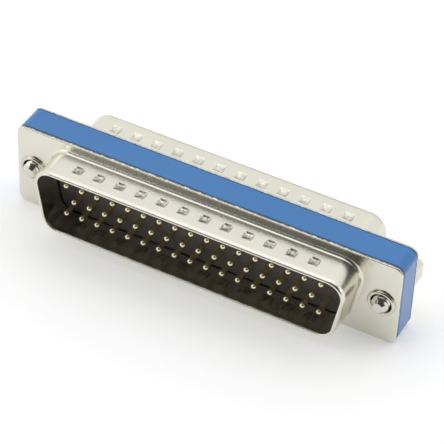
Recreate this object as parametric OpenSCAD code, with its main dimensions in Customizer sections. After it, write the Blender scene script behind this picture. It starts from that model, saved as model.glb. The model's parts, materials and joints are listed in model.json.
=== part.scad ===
// Slim gender changer for D connectors: two identical pin connectors stand back to back on a moulded
// spacer frame, clamped by tubular rivets that also carry the captive jackscrews.
// X runs along the connector, the front connector faces -Y and the part stands on its long edge at Z = 0.
// The rear connector is the front one turned over about X, so its wide side is below.

/* [Contacts] */
// Contacts in each of the two outer rows; the middle row has one less
outer_count = 17; // [9:1:25]
// Spacing of the contacts along a row
contact_pitch = 2.77; // [2.6:0.01:3.2]
// Spacing of the three rows
row_pitch = 2.84; // [2.6:0.01:3.4]
// Diameter of a contact pin
pin_d = 1.02; // [0.8:0.02:1.2]
// Distance of the pin tips behind the shell's mouth
tip_setback = 1.6; // [0.5:0.1:3]
// Diameter of the shoulder that seats a pin in its insulator
shoulder_d = 1.5; // [1.3:0.05:1.8]
// Thickness of that shoulder
shoulder_t = 0.4; // [0.2:0.05:0.6]
// Diameter of the tail that is soldered to the board
tail_d = 0.7; // [0.5:0.05:0.9]
// Free length of the tail between insulator and board
tail_len = 0.25; // [0.1:0.05:0.5]

/* [Shell] */
// From the last contact of an outer row to the shell's inner side, at its widest
end_margin = 4.245; // [3.6:0.005:5]
// From an outer row to the shell's long inner wall
row_margin = 2.695; // [2.4:0.005:3.2]
// Inner corner radius of the D outline
d_corner_r = 2.6; // [1.8:0.1:3.4]
// Slope of the two short sides
side_slope = 10; // [4:1:14]
// Thickness of the drawn sheet
sheet = 0.45; // [0.3:0.05:0.6]
// Radius of the bend from flange to wall, on the side that shows
bend_r = 0.6; // [0.3:0.05:0.9]
// Height of the mouth over the flange
shell_reach = 5.85; // [5:0.05:7]
// Rounding of the mouth's outer edge
lip_r = 0.33; // [0.1:0.01:0.34]
// Rounding of the mouth's inner edge
lip_in_r = 0.1; // [0.05:0.01:0.12]

/* [Flange] */
// From the shell's widest inner side to the screw axis
screw_offset = 4.15; // [4:0.05:5]
// From the screw axis to the flange's end
flange_end = 2.91; // [2.6:0.01:4]
// Flange beyond the shell's long inner wall
flange_margin = 2.15; // [1.9:0.05:3]
// Corner radius of the flange
flange_corner_r = 1.4; // [1:0.1:3]
// Rounding of the flange's front edge
flange_edge_r = 0.12; // [0.05:0.01:0.25]

/* [Dimples] */
// Dimples along each long wall
dimple_count = 12; // [4:1:12]
// Spacing of the dimples
dimple_pitch = 3.71; // [2.6:0.01:3.8]
// Length of a dimple along the wall
dimple_w = 1.75; // [1.2:0.05:2]
// Length of a dimple across the wall, with its ramp
dimple_l = 1.75; // [1.2:0.05:2]
// Depth that the sheet is pressed in, at the end near the flange
dimple_depth = 0.3; // [0.1:0.05:0.35]
// Run of a dimple's slanted sides
dimple_run = 0.35; // [0.15:0.05:0.45]
// From the flange to the middle of the dimples
dimple_rise = 2.95; // [2.2:0.05:3.4]

/* [Spacer frame] */
// Depth of the frame between the two flanges
frame_d = 4.85; // [4:0.05:8]
// Corner radius of the frame
frame_corner_r = 1.5; // [1:0.1:3.5]
// Rounding of the frame's outer edges
frame_edge_r = 0.2; // [0.05:0.05:0.4]
// Depth of the step round the frame's faces, which shows as a groove at each flange
frame_step = 0.18; // [0.05:0.01:0.3]
// Width of that step
frame_step_w = 0.5; // [0.2:0.05:0.8]

/* [Insulator] */
// Height of the insulator's face over the flange
face_rise = 0.3; // [0:0.05:1]
// Base of the insulator beyond the shell's widest inner side
base_lip_x = 1.4; // [1.2:0.05:1.5]
// Base of the insulator beyond the shell's long inner wall
base_lip_z = 1.15; // [0.9:0.05:1.2]
// Corner radius of that base
base_corner_r = 1.2; // [0.5:0.1:2]
// Rounding of the edge of the insulator's face
face_edge_r = 0.15; // [0.05:0.05:0.3]

/* [Circuit board] */
// Thickness of the board that crosses the outer rows over
board_t = 0.8; // [0.4:0.1:1.6]

/* [Jackscrews and rivets] */
// Outer diameter of the jackscrew's thread
screw_d = 2.845; // [2.4:0.005:3.1]
// Diameter of the neck that turns in the rivet
neck_d = 2.24; // [1.8:0.02:2.3]
// Reach of the threaded end in front of the flange
stud_reach = 1.45; // [1:0.05:4]
// Chamfer at the threaded end
stud_chamfer = 0.6; // [0.1:0.05:0.7]
// Width of the hexagon head across its flats
hex_af = 4.75; // [4.4:0.05:5.5]
// Length of the hexagon head
head_len = 3.55; // [2.5:0.05:6]
// Width of the chamfer on the corners of the head
head_chamfer = 0.3; // [0.1:0.05:0.5]
// Diameter of the tapped hole in the head
tap_d = 2.26; // [1.8:0.02:2.4]
// Floor left under the tapped hole
tap_floor = 0.6; // [0.3:0.05:1]
// Width of the countersink at the tapped hole
tap_sink = 0.3; // [0.1:0.05:0.5]
// Wall of the tubular rivet
rivet_wall = 0.2; // [0.15:0.01:0.3]
// Width of the rivet's rolled rim
rim_w = 0.64; // [0.5:0.02:0.7]
// Height of the rivet's rolled rim over the flange
rim_h = 0.45; // [0.35:0.05:0.7]
// Length of the narrow bore that holds the neck
waist_len = 1.6; // [1:0.1:2.5]

/* [Clearances] */
// Running gap between neck and rivet, on the radius
run_clear = 0.06; // [0.02:0.01:0.1]
// Open gap between thread and rivet, on the radius
mouth_clear = 0.27; // [0.1:0.01:0.35]
// Gap between jackscrew and rivet, along the axis
float_clear = 0.06; // [0.03:0.01:0.3]
// Gap round pieces that drop into one another
drop_clear = 0.1; // [0.05:0.01:0.15]
// Gap round the pins and rivets in their holes, on the radius
hole_clear = 0.02; // [0.01:0.01:0.05]

/* [Hidden] */
$fn = 64;
over = 1;           // how far a cutter runs past the face that it opens
corner_steps = 10;  // flats that make up a corner of the D
edge_steps = 4;     // flats across a rounded edge or bend
d_in_w = (outer_count - 1) * contact_pitch + 2 * end_margin;
d_in_h = 2 * row_pitch + 2 * row_margin;
screw_x = d_in_w / 2 + screw_offset;
flange_w = 2 * (screw_x + flange_end);
flange_h = d_in_h + 2 * flange_margin;
flange_back = frame_d / 2;
flange_front = flange_back + sheet;
mouth = flange_front + shell_reach;
bend_back_r = bend_r + sheet;
base_w = d_in_w + 2 * base_lip_x;
base_h = d_in_h + 2 * base_lip_z;
board_face = board_t / 2;
base_back = board_face + tail_len;
rivet_bore_r = screw_d / 2 + mouth_clear;
rivet_r = rivet_bore_r + rivet_wall;
waist_r = neck_d / 2 + run_clear;
waist_top = waist_len - flange_front;
stud_tip = flange_front + stud_reach;
head_seat = -flange_front - rim_h - float_clear;
head_end = head_seat - head_len;
hex_r = hex_af / 2 / cos(30);

// Corner centres of the D outline, anticlockwise from the narrow side, for a corner radius of d_corner_r
function d_centres() =
    let (y = d_in_h / 2 - d_corner_r,
         wide = d_in_w / 2 - d_corner_r,
         narrow = wide - 2 * y * tan(side_slope))
    [[-narrow, -y], [narrow, -y], [wide, y], [-wide, y]];

// Corner centres of a rectangle with rounded corners, to a thousandth
function box_centres(w, h, r) =
    let (x = round((w / 2 - r) * 1000) / 1000, y = round((h / 2 - r) * 1000) / 1000)
    [[-x, -y], [x, -y], [x, y], [-x, y]];

// Direction in which the side after corner i faces
function side_angle(c, i) =
    let (d = c[(i + 1) % len(c)] - c[i])
    atan2(d[1], d[0]) - 90;

// Length of the side after corner i
function side_run(c, i) = norm(c[(i + 1) % len(c)] - c[i]);

// Rounded rectangle from height low to high: a rim profile swept round the corner centres, and the middle.
// In the profile x is the distance out from a corner centre and y the height.
module box_plate(w, h, r, low, high, low_edge = 0, high_edge = 0) {
    c = box_centres(w, h, r);
    for (i = [0 : 3]) {
        translate(c[i]) rotate(side_angle(c, i)) rotate([90, 0, 0]) translate([0, 0, -side_run(c, i)])
            linear_extrude(side_run(c, i)) rounded_strip(r, low, high, low_edge, high_edge);
        translate(c[i]) rotate(side_angle(c, i) - 90)
            rotate_extrude(angle = 90) rounded_strip(r, low, high, low_edge, high_edge);
    }
    translate([0, 0, low]) linear_extrude(high - low) polygon(c);
}

// Outline at distance r round four corner centres
function outline(c, r) = [
    for (i = [0 : 3])
        let (from = side_angle(c, (i + 3) % 4), turn = (side_angle(c, i) - from + 360) % 360)
            for (j = [0 : corner_steps])
                let (a = from + turn * j / corner_steps) c[i] + r * [cos(a), sin(a)]];

// Points of an arc in a rim profile
function arc(x, y, r, from, to) = [
    for (j = [0 : edge_steps])
        let (a = from + (to - from) * j / edge_steps) [x + r * cos(a), y + r * sin(a)]];

// Rings that carry a rim profile round four corner centres: each has its centres, distance and height
function rings(c, profile) = [for (p = profile) [c, p[0], p[1]]];

// Skin stretched over rings, from the top ring down the outside; it closes on itself or is capped
module skin(all, capped = false) {
    n = 4 * (corner_steps + 1);
    last = len(all) - 1;
    points = [for (ring = all) for (p = outline(ring[0], ring[1])) [p[0], p[1], ring[2]]];
    sides = [
        for (i = [0 : capped ? last - 1 : last], k = [0 : n - 1])
            let (a = i * n, b = ((i + 1) % len(all)) * n, next = (k + 1) % n)
                each [[a + k, a + next, b + next], [a + k, b + next, b + k]]];
    caps = capped ? [[for (k = [n - 1 : -1 : 0]) k], [for (k = [0 : n - 1]) last * n + k]] : [];
    polyhedron(points, concat(sides, caps));
}

// Rim profile of reach r from height low to high, with its two outer corners rounded
module rounded_strip(r, low, high, low_edge, high_edge) {
    difference() {
        translate([0, low]) square([r, high - low]);
        if (low_edge > 0) translate([r - low_edge, low + low_edge]) mirror([0, 1]) corner_waste(low_edge);
        if (high_edge > 0) translate([r - high_edge, high - high_edge]) corner_waste(high_edge);
    }
}

// What is cut from a square corner to round it, seen from the middle of the rounding
module corner_waste(r) {
    difference() {
        square(2 * r);
        circle(r);
    }
}

// Stands a connector, made in the plane of its outline and facing +Z, in its place at the front
module at_front() { translate([0, 0, flange_h / 2]) rotate([90, 0, 0]) children(); }

// The same connector turned over, in its place at the rear
module at_rear() { translate([0, 0, flange_h / 2]) rotate([-90, 0, 0]) children(); }

// The drawn sheet in rings: mouth, outer wall, bend, flange, and back up the inside
function shell_rings() =
    let (d = d_centres(), f = box_centres(flange_w, flange_h, flange_corner_r),
         wall_r = d_corner_r + sheet, lip = min(lip_r, sheet - lip_in_r))
    concat(
        rings(d, arc(wall_r - lip, mouth - lip, lip, 90, 0)),
        rings(d, arc(wall_r + bend_r, flange_front + bend_r, bend_r, 180, 270)),
        rings(f, arc(flange_corner_r - flange_edge_r, flange_front - flange_edge_r, flange_edge_r, 90, 0)),
        rings(f, [[flange_corner_r, flange_back]]),
        rings(d, arc(d_corner_r + bend_back_r, flange_back + bend_back_r, bend_back_r, 270, 180)),
        rings(d, arc(d_corner_r + lip_in_r, mouth - lip_in_r, lip_in_r, 180, 90)));

// Pressed pocket, open at z = 0 and up to rise above it: slanted sides, deep near the flange, with a floor
// that ramps up to the wall on the way to the mouth
module pocket(w, l, rise) {
    intersection() {
        rotate([90, 0, 0]) linear_extrude(l, center = true)
            polygon([[-w / 2, rise], [w / 2, rise], [w / 2, 0], [w / 2 - dimple_run, -dimple_depth],
                     [-w / 2 + dimple_run, -dimple_depth], [-w / 2, 0]]);
        rotate([90, 0, 90]) linear_extrude(w, center = true)
            polygon([[-l / 2, rise], [l / 2, rise], [l / 2, 0], [l / 2 - dimple_run, -dimple_depth],
                     [-l / 2, 0]]);
    }
}

// Places a pocket at every dimple of both long walls, depth below their outer face
module at_dimples(depth) {
    for (turn = [0, 180], i = [0 : dimple_count - 1])
        rotate(turn)
            translate([(i - (dimple_count - 1) / 2) * dimple_pitch, d_in_h / 2 + sheet - depth,
                       flange_front + dimple_rise])
                rotate([-90, 0, 0]) children();
}

// Drawn steel shell: flange with two rivet holes and a D wall with pressed dimples
module shell() {
    color("#cdc8b8") difference() {
        union() {
            skin(shell_rings());
            at_dimples(sheet) pocket(dimple_w + sheet, dimple_l + sheet, sheet / 4);
        }
        at_dimples(0) pocket(dimple_w, dimple_l, over);
        for (side = [-1, 1])
            translate([side * screw_x, 0, flange_back - over])
                cylinder(h = sheet + 2 * over, r = rivet_r + hole_clear);
    }
}

// Where the contacts of a row stand; row 1 is at the wide side
function row_count(row) = row == 2 ? outer_count - 1 : outer_count;
module at_contacts(row) {
    n = row_count(row);
    for (i = [0 : n - 1])
        translate([(i - (n - 1) / 2) * contact_pitch, (2 - row) * row_pitch, 0]) children();
}

// Moulded insulator: a base behind the flange, a D face in the shell and a stepped hole for every contact
module insulator() {
    face = flange_front + face_rise;
    boss_r = d_corner_r - drop_clear;
    color("#2b2827") difference() {
        union() {
            box_plate(base_w, base_h, base_corner_r, base_back, flange_back);
            skin(concat(rings(d_centres(), arc(boss_r - face_edge_r, face - face_edge_r, face_edge_r, 90, 0)),
                        rings(d_centres(), [[boss_r, (base_back + flange_back) / 2]])), capped = true);
        }
        for (row = [1 : 3]) at_contacts(row) {
            cylinder(h = mouth, r = pin_d / 2 + hole_clear);
            cylinder(h = base_back + shoulder_t, r = shoulder_d / 2 + hole_clear);
        }
    }
}

// Turned contact pin: round nose, shank, shoulder and solder tail
module pin() {
    pin_r = pin_d / 2;
    nose = mouth - tip_setback - pin_r;
    rotate_extrude() {
        translate([0, base_back + shoulder_t]) square([pin_r, nose - base_back - shoulder_t]);
        translate([0, base_back]) square([shoulder_d / 2, shoulder_t]);
        translate([0, board_face]) square([tail_d / 2, tail_len]);
        translate([0, nose]) intersection() {
            circle(pin_r);
            square(pin_r);
        }
    }
}

module pin_row(row) {
    color("#d9c78f") at_contacts(row) pin();
}

// Moulded frame between the flanges: stepped faces, a window for insulators and board, a hole for each rivet
module spacer_frame() {
    color("#4a80bd") at_front() difference() {
        union() {
            box_plate(flange_w, flange_h, frame_corner_r, frame_step - flange_back, flange_back - frame_step,
                      frame_edge_r, frame_edge_r);
            box_plate(flange_w - 2 * frame_step_w, flange_h - 2 * frame_step_w, frame_corner_r - frame_step_w,
                      -flange_back, flange_back);
        }
        box_plate(base_w + 2 * drop_clear, base_h + 2 * drop_clear, base_corner_r + drop_clear,
                  -flange_back - over, flange_back + over);
        for (side = [-1, 1])
            translate([side * screw_x, 0, -flange_back - over])
                cylinder(h = frame_d + 2 * over, r = rivet_r + hole_clear);
    }
}

// Board between the two sets of tails
module circuit_board() {
    color("#2f6b3c") at_front()
        box_plate(base_w, base_h, base_corner_r, -board_face, board_face);
}

// Tubular rivet with rolled rims; its rear end is necked in to keep the jackscrew
module rivet(side) {
    color("#c9c6bd") at_front() translate([side * screw_x, 0, 0]) rotate_extrude() {
        translate([rivet_bore_r, -flange_front]) square([rivet_wall, 2 * flange_front]);
        translate([waist_r, -flange_front]) square([rivet_bore_r - waist_r, waist_len]);
        for (end = [0, 1]) mirror([0, end]) translate([rivet_bore_r, flange_front]) {
            square([rim_w, rim_h - rim_w / 2]);
            translate([rim_w / 2, rim_h - rim_w / 2]) intersection() {
                circle(rim_w / 2);
                translate([-rim_w / 2, 0]) square([rim_w, rim_w / 2]);
            }
        }
    }
}

// Captive jackscrew: threaded end in front, neck in the rivet, hexagon head with a tapped hole behind
module jackscrew(side) {
    thread_r = screw_d / 2;
    thread_start = waist_top + float_clear + thread_r - neck_d / 2;
    color("#d0ccc2") at_front() translate([side * screw_x, 0, 0]) difference() {
        union() {
            rotate_extrude() polygon([
                [0, head_seat - over / 2], [neck_d / 2, head_seat - over / 2],
                [neck_d / 2, waist_top + float_clear], [thread_r, thread_start],
                [thread_r, stud_tip - stud_chamfer], [thread_r - stud_chamfer, stud_tip], [0, stud_tip]]);
            intersection() {
                translate([0, 0, head_end]) rotate(30) cylinder(h = head_len, r = hex_r, $fn = 6);
                rotate_extrude() polygon([
                    [0, head_end], [hex_r - head_chamfer, head_end], [hex_r, head_end + head_chamfer / 2],
                    [hex_r, head_seat - head_chamfer / 2], [hex_r - head_chamfer, head_seat], [0, head_seat]]);
            }
        }
        translate([0, 0, head_end - over]) cylinder(h = head_len - tap_floor + over, r = tap_d / 2);
        translate([0, 0, head_end]) cylinder(h = tap_sink, r1 = tap_d / 2 + tap_sink, r2 = tap_d / 2);
    }
}

at_front() shell();  // front_shell
at_rear() shell();  // rear_shell
at_front() insulator();  // front_insulator
at_rear() insulator();  // rear_insulator
at_front() pin_row(1);  // front_pins_row_1
at_front() pin_row(2);  // front_pins_row_2
at_front() pin_row(3);  // front_pins_row_3
at_rear() pin_row(1);  // rear_pins_row_1
at_rear() pin_row(2);  // rear_pins_row_2
at_rear() pin_row(3);  // rear_pins_row_3
spacer_frame();
circuit_board();
rivet(-1);  // left_rivet
rivet(1);  // right_rivet
jackscrew(-1);  // left_jackscrew
jackscrew(1);  // right_jackscrew
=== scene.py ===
import json
import math

import bmesh
import bpy
from mathutils import Matrix, Vector


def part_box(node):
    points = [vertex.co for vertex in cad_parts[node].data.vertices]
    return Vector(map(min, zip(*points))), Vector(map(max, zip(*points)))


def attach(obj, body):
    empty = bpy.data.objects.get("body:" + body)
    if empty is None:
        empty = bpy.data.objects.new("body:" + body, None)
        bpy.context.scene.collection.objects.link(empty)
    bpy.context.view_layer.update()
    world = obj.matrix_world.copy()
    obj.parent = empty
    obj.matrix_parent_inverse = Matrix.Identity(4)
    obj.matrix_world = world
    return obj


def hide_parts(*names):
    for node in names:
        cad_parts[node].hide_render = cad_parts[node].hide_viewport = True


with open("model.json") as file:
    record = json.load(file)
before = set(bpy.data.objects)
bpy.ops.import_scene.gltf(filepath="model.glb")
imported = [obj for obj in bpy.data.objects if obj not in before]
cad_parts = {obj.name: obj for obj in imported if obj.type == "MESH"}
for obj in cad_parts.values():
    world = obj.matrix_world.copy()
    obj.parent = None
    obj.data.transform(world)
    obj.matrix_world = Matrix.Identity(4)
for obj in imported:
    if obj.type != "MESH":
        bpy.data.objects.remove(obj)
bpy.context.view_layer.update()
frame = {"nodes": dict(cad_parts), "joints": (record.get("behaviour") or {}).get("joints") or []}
nodes = frame["nodes"]

# Circuit board. It lies between the two connectors and joins their contacts pin to pin.
# Glass-cloth laminate with copper tracks under a green solder mask, cut from a panel.
mm = 0.001


def hex_colour(code):
    """An sRGB hex value as linear RGBA."""
    channels = [int(code[i:i + 2], 16) / 255 for i in (1, 3, 5)]
    linear = [c / 12.92 if c <= 0.04045 else ((c + 0.055) / 1.055) ** 2.4 for c in channels]
    return linear + [1.0]


def add_node(tree, kind, links=None, colours=(), **settings):
    """One node with its links, input name to output, the colours of its ramp and its settings.
    A setting is a socket, with _ for each space in its name, or else a property."""
    node = tree.nodes.new(kind)
    for name, value in settings.items():
        socket = name.replace("_", " ")
        if socket in node.inputs:
            node.inputs[socket].default_value = value
        else:
            setattr(node, name, value)
    for stop, code in zip(node.color_ramp.elements if colours else (), colours):
        stop.color = hex_colour(code)
    for name, output in (links or {}).items():
        tree.links.new(output, node.inputs[name])
    return node


def new_finish(name, metallic=0.0):
    """A material with its node tree, shader and Object coordinates."""
    material = bpy.data.materials.new(name)
    material.use_nodes = True
    tree = material.node_tree
    shader = tree.nodes["Principled BSDF"]
    shader.inputs["Metallic"].default_value = metallic
    place = add_node(tree, "ShaderNodeTexCoord").outputs["Object"]
    return material, tree, shader, place


def dress(piece, material):
    """Gives a piece its one material."""
    piece.data.materials.clear()
    piece.data.materials.append(material)


# Solder mask on laminate: an even green coat with the glass weave just showing through it.
weave_pitch = 0.5 * mm
mask_coat, tree, shader, place = new_finish("solder_mask_on_laminate")
weave = add_node(tree, "ShaderNodeTexVoronoi", {"Vector": place},
                 Scale=1 / weave_pitch, distance="MANHATTAN")
shade = add_node(tree, "ShaderNodeValToRGB", {"Fac": weave.outputs["Distance"]},
                 ["#2F7A43", "#1E5A31"])
tree.links.new(shade.outputs["Color"], shader.inputs["Base Color"])
gloss = add_node(tree, "ShaderNodeMapRange", {"Value": weave.outputs["Distance"]},
                 To_Min=0.3, To_Max=0.42)
tree.links.new(gloss.outputs["Result"], shader.inputs["Roughness"])
dress(nodes["circuit_board"], mask_coat)

# Contacts. Fifty pins a connector in rows of 17, 16 and 17, each turned from brass rod with a domed
# nose, a shoulder and a solder tail. They are plated with a thin flash of gold and pressed into the
# insulator.
contact_pitch = 2.77 * mm
pin_radius = 0.51 * mm
shoulder_radius = 0.75 * mm
shoulder_depth = 0.4 * mm
tail_radius = 0.35 * mm
tail_length = 0.25 * mm
pin_steps = 20
nose_steps = 5
quarter = math.radians(90)
full_turn = 4 * quarter
crease = math.radians(30)
weld = 0.001 * mm


def finish_piece(name, bm, material, body, node):
    """A smooth-shaded piece from a bmesh, riding on its body in place of its CAD node."""
    mesh = bpy.data.meshes.new(name)
    bm.to_mesh(mesh)
    mesh.shade_smooth()
    piece = bpy.data.objects.new(name, mesh)
    bpy.context.scene.collection.objects.link(piece)
    dress(piece, material)
    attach(piece, body)
    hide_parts(node)
    return piece


# Gold flash on turned brass: pale yellow and bright, with rings from the tool across its length.
# The real rings are about 0.03 mm apart and are drawn four times as coarse. At a scale of 1 a wave
# repeats every tenth of pi.
turning_pitch = 0.12 * mm
turning_depth = 0.004 * mm
flash_patch = 0.6 * mm
wave_unit = math.pi / 10
gold_flash, tree, shader, place = new_finish("gold_flash_on_turned_brass", metallic=1.0)
rings = add_node(tree, "ShaderNodeTexWave", {"Vector": place}, bands_direction="Y",
                 Scale=wave_unit / turning_pitch, Distortion=0.4, Detail=1.0)
plating = add_node(tree, "ShaderNodeTexNoise", {"Vector": place},
                   Scale=1 / flash_patch, Detail=3.0)
shade = add_node(tree, "ShaderNodeValToRGB", {"Fac": plating.outputs["Fac"]},
                 ["#E2D9B6", "#F0E8CB"])
tree.links.new(shade.outputs["Color"], shader.inputs["Base Color"])
gloss = add_node(tree, "ShaderNodeMapRange", {"Value": plating.outputs["Fac"]},
                 To_Min=0.15, To_Max=0.24)
tree.links.new(gloss.outputs["Result"], shader.inputs["Roughness"])
relief = add_node(tree, "ShaderNodeBump", {"Height": rings.outputs["Fac"]},
                  Strength=0.25, Distance=turning_depth)
tree.links.new(relief.outputs["Normal"], shader.inputs["Normal"])

for side, outward in (("front", -1), ("rear", 1)):
    for row in (1, 2, 3):
        node = f"{side}_pins_row_{row}"
        lo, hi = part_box(node)
        tail_y, tip_y = (lo.y, hi.y) if outward > 0 else (hi.y, lo.y)
        base_y = tail_y + outward * tail_length
        shank_y = base_y + outward * shoulder_depth
        nose_y = tip_y - outward * pin_radius
        profile = [(0, tail_y), (tail_radius, tail_y), (tail_radius, base_y)]
        profile += [(shoulder_radius, base_y), (shoulder_radius, shank_y), (pin_radius, shank_y)]
        for step in range(nose_steps + 1):
            angle = quarter * step / nose_steps
            reach = outward * pin_radius * math.sin(angle)
            profile.append((pin_radius * math.cos(angle), nose_y + reach))
        first_x = lo.x + shoulder_radius
        row_z = (lo.z + hi.z) / 2
        bm = bmesh.new()
        verts = [bm.verts.new((first_x + r, y, row_z)) for r, y in profile]
        edges = [bm.edges.new(pair) for pair in zip(verts, verts[1:])]
        bmesh.ops.spin(bm, geom=verts + edges, cent=(first_x, 0, row_z), axis=(0, 1, 0),
                       angle=full_turn, steps=pin_steps, use_merge=True)
        bmesh.ops.remove_doubles(bm, verts=bm.verts, dist=weld)
        bmesh.ops.recalc_face_normals(bm, faces=bm.faces)
        first_pin = bm.verts[:] + bm.edges[:] + bm.faces[:]
        row_pitches = round((hi.x - lo.x - 2 * shoulder_radius) / contact_pitch)
        for place_in_row in range(1, row_pitches + 1):
            copy = bmesh.ops.duplicate(bm, geom=first_pin)["geom"]
            copied = [g for g in copy if isinstance(g, bmesh.types.BMVert)]
            bmesh.ops.translate(bm, vec=(place_in_row * contact_pitch, 0, 0), verts=copied)
        pins = finish_piece(f"{side}_turned_pins_row_{row}", bm, gold_flash,
                            "housing", node)
        pins.data.set_sharp_from_angle(angle=crease)
        bm.free()

# Insulators. One behind each shell: a flanged block that fills the D and holds the contacts in
# stepped holes. Injection-moulded from polyester with glass fibre, and trapped between the shell
# and the spacer frame.

# Black moulded polyester: brown-black and satin, with a fine cloudy grain where fibres meet the skin.
fibre_length = 0.35 * mm
fibre_depth = 0.01 * mm
flow_size = 4 * mm
polyester, tree, shader, place = new_finish("black_moulded_polyester")
fibre = add_node(tree, "ShaderNodeTexNoise", {"Vector": place},
                 Scale=1 / fibre_length, Detail=4.0, Roughness=0.6)
cloud = add_node(tree, "ShaderNodeTexNoise", {"Vector": place}, Scale=1 / flow_size, Detail=2.0)
shade = add_node(tree, "ShaderNodeValToRGB", {"Fac": cloud.outputs["Fac"]},
                 ["#544F4A", "#635D58"])
tree.links.new(shade.outputs["Color"], shader.inputs["Base Color"])
gloss = add_node(tree, "ShaderNodeMapRange", {"Value": fibre.outputs["Fac"]},
                 To_Min=0.38, To_Max=0.55)
tree.links.new(gloss.outputs["Result"], shader.inputs["Roughness"])
relief = add_node(tree, "ShaderNodeBump", {"Height": fibre.outputs["Fac"]},
                  Strength=0.35, Distance=fibre_depth)
tree.links.new(relief.outputs["Normal"], shader.inputs["Normal"])
for side in ("front", "rear"):
    dress(nodes[f"{side}_insulator"], polyester)

# Shells. Each connector has one drawn from tin-plated steel sheet: a blanked flange, a bend and the
# D-shaped wall that keys the plug, with its lip curled inwards. Dimples pressed into both long walls
# grip the mating shell. The rivets hold the flanges.
sheet = 0.45 * mm
bend_radius = 0.6 * mm
lip_drop = 0.35 * mm
lip_long = 0.82 * mm
lip_inner = 0.2 * mm
lip_curl = 0.18 * mm
rim_radius = 0.2 * mm
flange_corner = 1.4 * mm
d_width = 52.81 * mm
d_height = 11.07 * mm
d_corner = 2.6 * mm
d_slope = math.radians(10)
rivet_hole = 1.9125 * mm
corner_steps = 14
hole_steps = 48
bend_steps = 8
shell_lo, shell_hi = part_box("front_shell")
mouth_y = shell_lo.y
flange_back_y = shell_hi.y
flange_y = flange_back_y - sheet
mid_z = (shell_lo.z + shell_hi.z) / 2
screw_x = frame["joints"][1]["pos_m"][0]
dimple_count = 12
dimple_pitch = 3.71 * mm
dimple_wide = 1.75 * mm
dimple_long = 1.75 * mm
dimple_sink = 0.3 * mm
bump_rise = 0.15 * mm
dimple_deepest = 0.3
dimple_side_power = 4
dimple_ramp_power = 2.5
dimple_cuts = 9
dimple_y = flange_y - 2.95 * mm
least_share = 0.001
# Painted shade: extra in the dimple slopes, on the cut edge with its bare steel, and the share of it
# kept on the rear shell.
slope_shade = 1.3
cut_edge_bare_and_shaded = 1.8
cut_edge_reach = 0.7 * flange_corner
rear_shade_share = 0.55
rear_most = 0.6
cut_snap = 1e-8


def sweep(bm, corners, section, steps):
    """Carries a section round corners: spun about each centre and drawn straight to the next.
    A corner has the x and z of its centre, its start and its turn.
    The section has distances from the centre, and y."""
    x, z, start, _ = corners[0]
    points = [(x + r * math.cos(start), y, z + r * math.sin(start)) for r, y in section]
    verts = [bm.verts.new(point) for point in points]
    geom = verts + [bm.edges.new(pair) for pair in zip(verts, verts[1:])]
    for (x, z, _, turn), (next_x, next_z, _, _) in zip(corners, corners[1:] + corners[:1]):
        spun = bmesh.ops.spin(bm, geom=geom, cent=(x, 0, z), axis=(0, -1, 0), angle=turn,
                              steps=steps)
        geom = spun["geom_last"]
        if len(corners) > 1:
            ends = [g for g in geom if isinstance(g, bmesh.types.BMEdge)]
            geom = bmesh.ops.extrude_edge_only(bm, edges=ends)["geom"]
            drawn = [g for g in geom if isinstance(g, bmesh.types.BMVert)]
            bmesh.ops.translate(bm, vec=(next_x - x, 0, next_z - z), verts=drawn)
            geom = [g for g in geom if not isinstance(g, bmesh.types.BMFace)]


def arc(reach, y, radius, start, turn, length=None):
    """Points of an arc in the shell's section: distance from the corner centres, and y.
    A length makes it part of an ellipse that is so much longer along y."""
    angles = [start + turn * step / bend_steps for step in range(bend_steps + 1)]
    return [(reach + radius * math.cos(a), y + (length or radius) * math.sin(a)) for a in angles]


def press_dimples(bm, walls, wide, long, sink):
    """Sinks a row of dimples into wall faces: steep at the sides and near the flange, and
    ramping out to the mouth. Shade is painted into them as a darker grey, following their depth,
    with extra shade on their slopes."""
    painted_shade_and_bare_edge = bm.verts.layers.float["painted_shade_and_bare_edge"]
    xs = [(i - (dimple_count - 1) / 2) * dimple_pitch for i in range(dimple_count)]
    cuts = [((x + edge * wide / 2, 0, 0), (1, 0, 0)) for x in xs for edge in (-1, 1)]
    cuts += [((0, dimple_y + edge * long / 2, 0), (0, 1, 0)) for edge in (-1, 1)]
    for point, normal in cuts:
        edges = dict.fromkeys(e for f in walls for e in f.edges)
        verts = dict.fromkeys(v for f in walls for v in f.verts)
        cut = bmesh.ops.bisect_plane(bm, geom=[*walls, *edges, *verts], dist=cut_snap,
                                     plane_co=point, plane_no=normal)
        walls = [g for g in cut["geom"] if isinstance(g, bmesh.types.BMFace)]
    rims = {}
    for face in walls:
        middle = face.calc_center_median()
        aside = min(abs(middle.x - x) for x in xs)
        if abs(middle.y - dimple_y) < long / 2 and aside < wide / 2:
            rims.update(dict.fromkeys(face.edges))
    grid = bmesh.ops.subdivide_edges(bm, edges=list(rims), cuts=dimple_cuts, use_grid_fill=True)
    inner = [g for g in grid["geom_inner"] if isinstance(g, bmesh.types.BMVert)]
    cells = set()
    for vert in dict.fromkeys(inner):
        across = min(abs(vert.co.x - x) for x in xs) * 2 / wide
        along = (dimple_y + long / 2 - vert.co.y) / long
        span = 1 - dimple_deepest if along > dimple_deepest else -dimple_deepest
        climb = (along - dimple_deepest) / span
        share = (1 - across ** dimple_side_power) * (1 - climb ** dimple_ramp_power)
        vert.co.z -= math.copysign(sink * share, vert.co.z - mid_z)
        # Painted shade: darker grey following the depth, with extra on the slopes.
        vert[painted_shade_and_bare_edge] = share * (1 + slope_shade * (1 - share))
        if share > least_share:
            cells.update(vert.link_faces)
    for edge in {e for f in cells for e in f.edges}:
        edge.smooth = all(f in cells for f in edge.link_faces)


def even_normals(piece):
    """Keeps flat faces flat beside rounded ones."""
    even = piece.modifiers.new("flat faces stay flat", "WEIGHTED_NORMAL")
    even.keep_sharp = True


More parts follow.
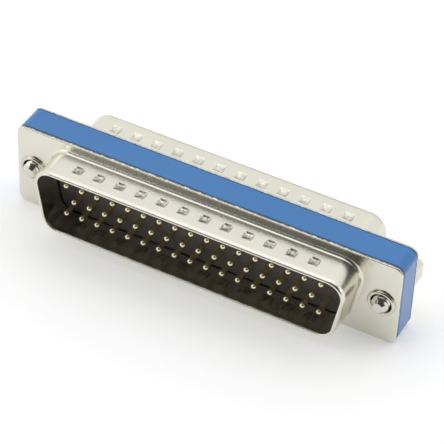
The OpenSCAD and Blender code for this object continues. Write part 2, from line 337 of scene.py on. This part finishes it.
wide_x = d_width / 2 - d_corner
rise = d_height / 2 - d_corner
narrow_x = wide_x - 2 * rise * math.tan(d_slope)
d_corners = [
    (wide_x, mid_z + rise, -d_slope, quarter + d_slope),
    (-wide_x, mid_z + rise, quarter, quarter + d_slope),
    (-narrow_x, mid_z - rise, 2 * quarter + d_slope, quarter - d_slope),
    (narrow_x, mid_z - rise, 3 * quarter, quarter - d_slope),
]
end_x = shell_hi.x - flange_corner
end_z = (shell_hi.z - shell_lo.z) / 2 - flange_corner
flange_corners = [
    (end_x, mid_z + end_z, 0, quarter),
    (-end_x, mid_z + end_z, quarter, quarter),
    (-end_x, mid_z - end_z, 2 * quarter, quarter),
    (end_x, mid_z - end_z, 3 * quarter, quarter),
]
wall_reach = d_corner + sheet
lip_reach = d_corner - lip_curl
back_radius = bend_radius + sheet
back_bend_y = flange_back_y - back_radius
section = arc(wall_reach + bend_radius, flange_y - bend_radius, bend_radius, quarter, quarter)
section += arc(wall_reach - lip_drop, mouth_y + lip_long, lip_drop, 0, -quarter, lip_long)
section += arc(lip_reach + lip_inner, mouth_y + lip_inner, lip_inner, -quarter, -quarter)
section += arc(lip_reach, mouth_y + lip_long + sheet, lip_curl, -quarter, quarter, lip_long)
section += arc(d_corner + back_radius, back_bend_y, back_radius, 2 * quarter, -quarter)
bm = bmesh.new()
# A layer of painted shade in the dimples and on the bare cut edge, for the tin plate's darker grey.
shade_and_bare_edge_layer = bm.verts.layers.float.new("painted_shade_and_bare_edge")
sweep(bm, d_corners, section, corner_steps)
rim_y = flange_y + rim_radius
rim = arc(flange_corner - rim_radius, rim_y, rim_radius, -quarter, quarter)
sweep(bm, flange_corners, rim + [(flange_corner, flange_back_y)], corner_steps)
# The flange's cut edge takes the darker grey: bare steel, and painted shade along its rim.
for vert in bm.verts:
    past_x = abs(vert.co.x) - end_x
    past_z = abs(vert.co.z - mid_z) - end_z
    if vert.co.y > rim_y - weld and max(past_x, past_z) > cut_edge_reach:
        vert[shade_and_bare_edge_layer] = cut_edge_bare_and_shaded
hole_section = [(rivet_hole, flange_y), (rivet_hole, flange_back_y)]
for x in (-screw_x, screw_x):
    sweep(bm, [(x, mid_z, 0, full_turn)], hole_section, hole_steps)
bmesh.ops.remove_doubles(bm, verts=bm.verts, dist=weld)
for y in (flange_y, flange_back_y):
    open_edges = [e for e in bm.edges if e.is_boundary]
    open_edges = [e for e in open_edges if all(abs(v.co.y - y) < weld for v in e.verts)]
    bmesh.ops.triangle_fill(bm, edges=open_edges, use_beauty=True, normal=(0, 1, 0))
bmesh.ops.recalc_face_normals(bm, faces=bm.faces)

level_normal = 0.999
least_wall = (10 * mm) ** 2
sheet_middle = d_height / 2 + sheet / 2
level_faces = [f for f in bm.faces if abs(f.normal.z) > level_normal]
wall_heights = {f: abs(f.calc_center_median().z - mid_z) for f in level_faces
                if f.calc_area() > least_wall}
outside = [f for f, height in wall_heights.items() if 0 < height - sheet_middle < sheet]
inside = [f for f, height in wall_heights.items() if height < sheet_middle]
press_dimples(bm, outside, dimple_wide, dimple_long, dimple_sink)
press_dimples(bm, inside, dimple_wide + sheet, dimple_long + sheet, bump_rise)
for edge in bm.edges:
    if edge.calc_face_angle() > crease:
        edge.smooth = False

# Tin plate on drawn steel: warm silver and satin, softly mottled by the crystals of the plate, with
# faint lines along the draw. A darker grey, broken into patches, is painted shade in the dimples, and
# on the cut edge it is bare steel and painted shade.
# Crystals are about 0.05 mm and are drawn six times as coarse.
crystal = 0.3 * mm
crystal_depth = 0.025 * mm
dull_patch = 7 * mm
line_width = 0.2 * mm
line_length = 6 * mm
line_depth = 0.004 * mm
scuff_size = 0.6 * mm
tin_plate, tree, shader, place = new_finish("tin_plate_on_drawn_steel", metallic=1.0)
plating = add_node(tree, "ShaderNodeTexNoise", {"Vector": place},
                   Scale=1 / crystal, Detail=3.0, Roughness=0.6)
cloud = add_node(tree, "ShaderNodeTexNoise", {"Vector": place}, Scale=1 / dull_patch, Detail=2.0)
stretch = add_node(tree, "ShaderNodeMapping", {"Vector": place},
                   Scale=(1 / line_width, 1 / line_length, 1 / line_width))
draw_lines = add_node(tree, "ShaderNodeTexNoise", {"Vector": stretch.outputs["Vector"]},
                      Scale=1.0, Detail=2.0)
shade = add_node(tree, "ShaderNodeValToRGB", {"Fac": cloud.outputs["Fac"]},
                 ["#DDDACC", "#E6E4D8"])
# Painted shade in the dimples and on the bare cut edge, mixed in as a darker grey in patches.
painted_shade_and_bare_edge = add_node(tree, "ShaderNodeAttribute", attribute_name="painted_shade_and_bare_edge")
patchy_noise = add_node(tree, "ShaderNodeTexNoise", {"Vector": place},
                 Scale=1 / scuff_size, Detail=4.0, Roughness=0.65)
patches = add_node(tree, "ShaderNodeMapRange", {"Value": patchy_noise.outputs["Fac"]},
                   From_Min=0.35, From_Max=0.65)
shade_and_edge_patches = add_node(tree, "ShaderNodeMath",
                {0: painted_shade_and_bare_edge.outputs["Fac"], 1: patches.outputs["Result"]}, operation="MULTIPLY")
shade_and_edge_mix = add_node(tree, "ShaderNodeMixRGB",
                {"Fac": shade_and_edge_patches.outputs["Value"], "Color1": shade.outputs["Color"]},
                Color2=hex_colour("#8C8A81"))
tree.links.new(shade_and_edge_mix.outputs["Color"], shader.inputs["Base Color"])
gloss = add_node(tree, "ShaderNodeMapRange", {"Value": plating.outputs["Fac"]},
                 To_Min=0.17, To_Max=0.28)
tree.links.new(gloss.outputs["Result"], shader.inputs["Roughness"])
lines = add_node(tree, "ShaderNodeBump", {"Height": draw_lines.outputs["Fac"]},
                 Strength=0.3, Distance=line_depth)
relief = add_node(tree, "ShaderNodeBump",
                  {"Height": plating.outputs["Fac"], "Normal": lines.outputs["Normal"]},
                  Strength=1.0, Distance=crystal_depth)
tree.links.new(relief.outputs["Normal"], shader.inputs["Normal"])

# The rear shell is the front one turned over, with fainter painted shade in its dimples and on its
# bare cut edge.
to_middle = Matrix.Translation((0, 0, mid_z))
turn_over = to_middle @ Matrix.Rotation(math.pi, 4, "X") @ to_middle.inverted()
for side in ("front", "rear"):
    shell = finish_piece(f"{side}_drawn_shell", bm, tin_plate, "housing",
                         f"{side}_shell")
    even_normals(shell)
    bmesh.ops.transform(bm, matrix=turn_over, verts=bm.verts)
    # Fainter painted shade and bare edge on the rear shell.
    for vert in bm.verts:
        vert[shade_and_bare_edge_layer] = min(vert[shade_and_bare_edge_layer] * rear_shade_share, rear_most)
bm.free()

# Spacer frame. A blue window frame that sets the two connectors apart and hides their contact tails.
# Injection-moulded in one piece and clamped between the flanges by the rivets. It sits so tight on
# the rear flange that the step at its rear edge is nearly shut.
rear_step = 0.18 * mm
rear_rounding = 0.2 * mm
rear_gap = 0.03 * mm
rear_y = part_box("spacer_frame")[1].y


def sharpen_copy(piece):
    """Shades a copy of a CAD mesh by its own edges: smooth up to the crease, and sharp past it."""
    piece.data.attributes.remove(piece.data.attributes["custom_normal"])
    piece.data.set_sharp_from_angle(angle=crease)


# Blue moulded plastic: a satin skin with the fine grain of an eroded mould and slight clouds in its
# colour.
grain = 0.18 * mm
grain_depth = 0.008 * mm
pigment_cloud = 9 * mm
blue_moulding, tree, shader, place = new_finish("blue_moulded_abs")
eroded = add_node(tree, "ShaderNodeTexNoise", {"Vector": place},
                  Scale=1 / grain, Detail=3.0, Roughness=0.55)
cloud = add_node(tree, "ShaderNodeTexNoise", {"Vector": place},
                 Scale=1 / pigment_cloud, Detail=2.0)
shade = add_node(tree, "ShaderNodeValToRGB", {"Fac": cloud.outputs["Fac"]},
                 ["#327DC5", "#3C88CF"])
tree.links.new(shade.outputs["Color"], shader.inputs["Base Color"])
shader.inputs["IOR"].default_value = 1.57
gloss = add_node(tree, "ShaderNodeMapRange", {"Value": eroded.outputs["Fac"]},
                 To_Min=0.16, To_Max=0.28)
tree.links.new(gloss.outputs["Result"], shader.inputs["Roughness"])
relief = add_node(tree, "ShaderNodeBump", {"Height": eroded.outputs["Fac"]},
                  Strength=0.35, Distance=grain_depth)
tree.links.new(relief.outputs["Normal"], shader.inputs["Normal"])

bm = bmesh.new()
bm.from_mesh(nodes["spacer_frame"].data)
bmesh.ops.remove_doubles(bm, verts=bm.verts, dist=weld)
rim_depth = rear_step + rear_rounding + weld
rear_rim = [v for v in bm.verts if rear_step / 2 < rear_y - v.co.y < rim_depth]
bmesh.ops.translate(bm, vec=(0, rear_step - rear_gap, 0), verts=rear_rim)
spacer = finish_piece("moulded_spacer_frame", bm, blue_moulding, "housing",
                      "spacer_frame")
sharpen_copy(spacer)
even_normals(spacer)
bm.free()

# Rivets. A tube at each end that clamps the flanges to the frame and lets the jackscrew turn in it.
# Drawn from brass strip and plated, then rolled over at both ends.

# Bright plate on rolled brass: smoother than the shells, with scuffs round the rim where the tool
# rolled it.
roll_scuff = 0.5 * mm
roll_depth = 0.008 * mm
rolled_rim, tree, shader, place = new_finish("bright_plate_on_rolled_brass", metallic=1.0)
patchy_noise = add_node(tree, "ShaderNodeTexNoise", {"Vector": place},
                 Scale=1 / roll_scuff, Detail=4.0, Roughness=0.65)
shade = add_node(tree, "ShaderNodeValToRGB", {"Fac": patchy_noise.outputs["Fac"]},
                 ["#CFCABB", "#DEDACD"])
tree.links.new(shade.outputs["Color"], shader.inputs["Base Color"])
gloss = add_node(tree, "ShaderNodeMapRange", {"Value": patchy_noise.outputs["Fac"]},
                 To_Min=0.1, To_Max=0.28)
tree.links.new(gloss.outputs["Result"], shader.inputs["Roughness"])
relief = add_node(tree, "ShaderNodeBump", {"Height": patchy_noise.outputs["Fac"]},
                  Strength=0.3, Distance=roll_depth)
tree.links.new(relief.outputs["Normal"], shader.inputs["Normal"])
for side in ("left", "right"):
    dress(nodes[f"{side}_rivet"], rolled_rim)

# Jackscrews. Turned from hexagon steel bar: a number 4-40 stud in front, a neck held captive in the
# rivet, and a head behind it that is tapped with the same thread for the next connector's hood.
thread_pitch = 25.4 * mm / 40
thread_radius = 1.4225 * mm
root_radius = 1.1 * mm
tap_radius = 1.13 * mm
tap_depth = 2.95 * mm
tap_slack = 0.1 * mm
stud_chamfer = 0.6 * mm
stud_inner_y = 0.8 * mm
head_clear_y = 2 * mm
turn_steps = 32
spare_turns = 2
root_half = 0.42
crest_half = 0.07
ridge_sink = 0.02 * mm
slack = 0.01 * mm


def thread_ridge(bm, axis, y_from, y_to, root, crest):
    """The ridge of a thread, wound about the axis from one height to another.
    Its foot sinks into the root. Gives the ridge's vertices."""
    known = set(bm.verts)
    foot = root - math.copysign(ridge_sink, crest - root)
    profile = [(foot, -root_half), (crest, -crest_half), (crest, crest_half), (foot, root_half)]
    start = y_from - thread_pitch
    points = [(axis.x + r, start + share * thread_pitch, axis.z) for r, share in profile]
    verts = [bm.verts.new(point) for point in points]
    edges = [bm.edges.new(pair) for pair in zip(verts, verts[1:] + verts[:1])]
    turns = math.ceil((y_to - y_from) / thread_pitch) + spare_turns
    bmesh.ops.spin(bm, geom=verts + edges, cent=axis, axis=(0, -1, 0), angle=-full_turn * turns,
                   dvec=(0, thread_pitch / turn_steps, 0), steps=turns * turn_steps)
    for limit, normal in ((y_from, (0, -1, 0)), (y_to, (0, 1, 0))):
        ridge = [v for v in bm.verts if v not in known]
        edges = dict.fromkeys(e for v in ridge for e in v.link_edges)
        faces = dict.fromkeys(f for v in ridge for f in v.link_faces)
        cut = bmesh.ops.bisect_plane(bm, geom=[*ridge, *edges, *faces], dist=cut_snap,
                                     plane_co=(0, limit, 0), plane_no=normal, clear_outer=True)
        rim = [g for g in cut["geom_cut"] if isinstance(g, bmesh.types.BMEdge)]
        bmesh.ops.holes_fill(bm, edges=rim)
    ridge = [v for v in bm.verts if v not in known]
    faces = dict.fromkeys(f for v in ridge for f in v.link_faces)
    bmesh.ops.recalc_face_normals(bm, faces=list(faces))
    return ridge


# Nickel plate on turned steel: a cool bright grey with rings from the cutting tool round each axis
# and small tears between them. The real rings are about 0.06 mm apart and are drawn three times as
# coarse.
ring_pitch = 0.18 * mm
ring_depth = 0.01 * mm
tear = 0.22 * mm
tear_depth = 0.012 * mm
nickel, tree, shader, place = new_finish("nickel_plate_on_turned_steel", metallic=1.0)
folded = add_node(tree, "ShaderNodeVectorMath", {0: place}, operation="ABSOLUTE")
centred = add_node(tree, "ShaderNodeVectorMath", {0: folded.outputs["Vector"]},
                   operation="SUBTRACT")
centred.inputs[1].default_value = (screw_x, 0, mid_z)
rings = add_node(tree, "ShaderNodeTexWave", {"Vector": centred.outputs["Vector"]},
                 wave_type="RINGS", rings_direction="Y",
                 Scale=wave_unit / ring_pitch, Distortion=1.0, Detail=2.0)
tears = add_node(tree, "ShaderNodeTexNoise", {"Vector": place},
                 Scale=1 / tear, Detail=4.0, Roughness=0.6)
shade = add_node(tree, "ShaderNodeValToRGB", {"Fac": tears.outputs["Fac"]},
                 ["#CFCCC2", "#E2DFD6"])
tree.links.new(shade.outputs["Color"], shader.inputs["Base Color"])
gloss = add_node(tree, "ShaderNodeMapRange", {"Value": tears.outputs["Fac"]},
                 To_Min=0.08, To_Max=0.2)
tree.links.new(gloss.outputs["Result"], shader.inputs["Roughness"])
turned = add_node(tree, "ShaderNodeBump", {"Height": rings.outputs["Fac"]},
                  Strength=0.2, Distance=ring_depth)
relief = add_node(tree, "ShaderNodeBump",
                  {"Height": tears.outputs["Fac"], "Normal": turned.outputs["Normal"]},
                  Strength=0.3, Distance=tear_depth)
tree.links.new(relief.outputs["Normal"], shader.inputs["Normal"])

radial = Vector((1, 0, 1))
thinned = Vector((root_radius / thread_radius, 1, root_radius / thread_radius))
widened = Vector((thread_radius / tap_radius, 1, thread_radius / tap_radius))
thread_depth = thread_radius - root_radius
for side in ("left", "right"):
    node = f"{side}_jackscrew"
    lo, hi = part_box(node)
    axis = Vector(((lo.x + hi.x) / 2, 0, mid_z))
    about = Matrix.Translation(-axis)
    bm = bmesh.new()
    bm.from_mesh(nodes[node].data)
    bmesh.ops.remove_doubles(bm, verts=bm.verts, dist=weld)
    reaches = {v: ((v.co - axis) * radial).length for v in bm.verts}
    stud = [v for v, reach in reaches.items()
            if v.co.y < head_clear_y and reach > thread_radius - slack]
    bmesh.ops.scale(bm, vec=thinned, space=about, verts=stud)
    stud_end = [v for v in stud if v.co.y < lo.y + stud_chamfer + slack]
    bmesh.ops.translate(bm, vec=(0, -thread_depth, 0), verts=stud_end)
    bore = [v for v, reach in reaches.items()
            if v.co.y > hi.y - tap_depth - tap_slack and abs(reach - tap_radius) < slack]
    bmesh.ops.scale(bm, vec=widened, space=about, verts=bore)
    ridge_y = lo.y + stud_chamfer - thread_depth + ridge_sink
    for vert in thread_ridge(bm, axis, ridge_y, stud_inner_y, root_radius, thread_radius):
        spoke = (vert.co - axis) * radial
        most = thread_radius - stud_chamfer + vert.co.y - lo.y - ridge_sink
        if spoke.length > most:
            vert.co -= spoke * (1 - most / spoke.length)
    tap_end_y = hi.y - thread_pitch / 2
    thread_ridge(bm, axis, hi.y - tap_depth, tap_end_y, thread_radius, tap_radius)
    screw = finish_piece(f"{side}_threaded_jackscrew", bm, nickel, node, node)
    sharpen_copy(screw)
    bm.free()

# Studio. White paper under a light tent, with a soft box in front and one at the side. The tent is
# brightest overhead, its rear wall is in shade, and soft dark openings in front and on either hand
# give bright metal its dark lines.
floor_size = 3.0
paper_lift = 0.33
bm = bmesh.new()
bmesh.ops.create_grid(bm, x_segments=1, y_segments=1, size=floor_size / 2)
mesh = bpy.data.meshes.new("floor")
bm.to_mesh(mesh)
bm.free()
floor = bpy.data.objects.new("floor", mesh)
bpy.context.scene.collection.objects.link(floor)

# White paper: matt, and lifted to white where it is seen directly or in metal.
paper, tree, shader, _ = new_finish("white_paper")
shader.inputs["Base Color"].default_value = hex_colour("#F7F7F7")
shader.inputs["Roughness"].default_value = 0.9
shader.inputs["Specular IOR Level"].default_value = 0.1
shader.inputs["Emission Color"].default_value = hex_colour("#FFFFFF")
rays = add_node(tree, "ShaderNodeLightPath").outputs
seen = rays["Is Camera Ray"]
for ray in ("Is Glossy Ray", "Is Transmission Ray"):
    either = add_node(tree, "ShaderNodeMath", {0: seen, 1: rays[ray]}, operation="MAXIMUM")
    seen = either.outputs["Value"]
lift = add_node(tree, "ShaderNodeMapRange", {"Value": seen}, To_Max=paper_lift)
tree.links.new(lift.outputs["Result"], shader.inputs["Emission Strength"])
dress(floor, paper)

# A soft box has its place, its two sides and its power, and faces the middle of the floor.
for name, spot, wide, deep, watts in (
    ("left_soft_box", (-0.43, -0.5, 0.17), 0.28, 0.2, 0.28),
    ("right_soft_box", (0.6, 0.1, 0.25), 0.2, 0.3, 0.3),
):
    lamp = bpy.data.lights.new(name, "AREA")
    lamp.shape = "RECTANGLE"
    lamp.size = wide
    lamp.size_y = deep
    lamp.energy = watts
    stand = bpy.data.objects.new(name, lamp)
    stand.location = spot
    stand.rotation_euler = Vector(spot).to_track_quat("Z", "Y").to_euler()
    bpy.context.scene.collection.objects.link(stand)

# An opening has its middle, and the cosines off it at which it starts and is fully dark. It fades
# out at a sill just above the floor.
openings = (
    ((0.3, -0.72, 0.62), 0.64, 0.78),
    ((0.8, -0.4, 0.45), 0.72, 0.86),
    ((-0.33, -0.92, 0.17), 0.9, 0.98),
)
sill = 0.06
top_light = 1.4
rear_shade = 0.72
world = bpy.data.worlds.new("tent")
world.use_nodes = True
bpy.context.scene.world = world
tree = world.node_tree
backdrop = tree.nodes["Background"].inputs
direction = add_node(tree, "ShaderNodeTexCoord").outputs["Generated"]
axes = add_node(tree, "ShaderNodeSeparateXYZ", {"Vector": direction}).outputs
darks = []
for middle, edge, dark in openings:
    facing = add_node(tree, "ShaderNodeVectorMath", {0: direction}, operation="DOT_PRODUCT")
    facing.inputs[1].default_value = Vector(middle).normalized()
    near = add_node(tree, "ShaderNodeMapRange", {"Value": facing.outputs["Value"]},
                    From_Min=edge, From_Max=dark)
    darks.append(near.outputs["Result"])
darkest = darks[0]
for dark in darks[1:]:
    either = add_node(tree, "ShaderNodeMath", {0: darkest, 1: dark}, operation="MAXIMUM")
    darkest = either.outputs["Value"]
above_sill = add_node(tree, "ShaderNodeMapRange", {"Value": axes["Z"]},
                      From_Min=0.0, From_Max=sill)
opened = add_node(tree, "ShaderNodeMath", {0: darkest, 1: above_sill.outputs["Result"]},
                  operation="MULTIPLY")
tent = add_node(tree, "ShaderNodeValToRGB", {"Fac": opened.outputs["Value"]},
                ["#FFFFFF", "#484848"])
tree.links.new(tent.outputs["Color"], backdrop["Color"])
top = add_node(tree, "ShaderNodeMapRange", {"Value": axes["Z"]},
               From_Min=0.74, From_Max=0.9, To_Min=1.0, To_Max=top_light)
rear_wall = add_node(tree, "ShaderNodeMapRange", {"Value": axes["Y"]},
                     From_Min=0.76, From_Max=0.9, To_Min=1.0, To_Max=rear_shade)
strength = add_node(tree, "ShaderNodeMath",
                    {0: top.outputs["Result"], 1: rear_wall.outputs["Result"]},
                    operation="MULTIPLY")
tree.links.new(strength.outputs["Value"], backdrop["Strength"])

# Camera. A long lens from the front right and well above, tipped a little, as in the photograph.
# Its focal length is in pixels of the square image, and its angles and place fit the pins.
azimuth = math.radians(26.637)
elevation = math.radians(41.864)
roll = math.radians(2.476)
distance = 342.17 * mm
target = Vector((3.284, -2.875, 11.505)) * mm
image_pixels = 444
focal_pixels = 2241.7
lens = bpy.data.cameras.new("camera")
lens.sensor_width = 36
lens.lens = focal_pixels / image_pixels * lens.sensor_width
lens.clip_start = 0.01
camera = bpy.data.objects.new("camera", lens)
bpy.context.scene.collection.objects.link(camera)
bearing = Vector((math.sin(azimuth), -math.cos(azimuth), 0))
back = bearing * math.cos(elevation) + Vector((0, 0, math.sin(elevation)))
level = Vector((math.cos(azimuth), math.sin(azimuth), 0))
above = back.cross(level)
across = math.cos(roll) * level + math.sin(roll) * above
upright = math.cos(roll) * above - math.sin(roll) * level
aim = Matrix((across, upright, back)).transposed().to_4x4()
camera.matrix_world = Matrix.Translation(target + back * distance) @ aim
bpy.context.scene.camera = camera
bpy.context.scene.view_settings.view_transform = "Standard"

bpy.context.view_layer.update()
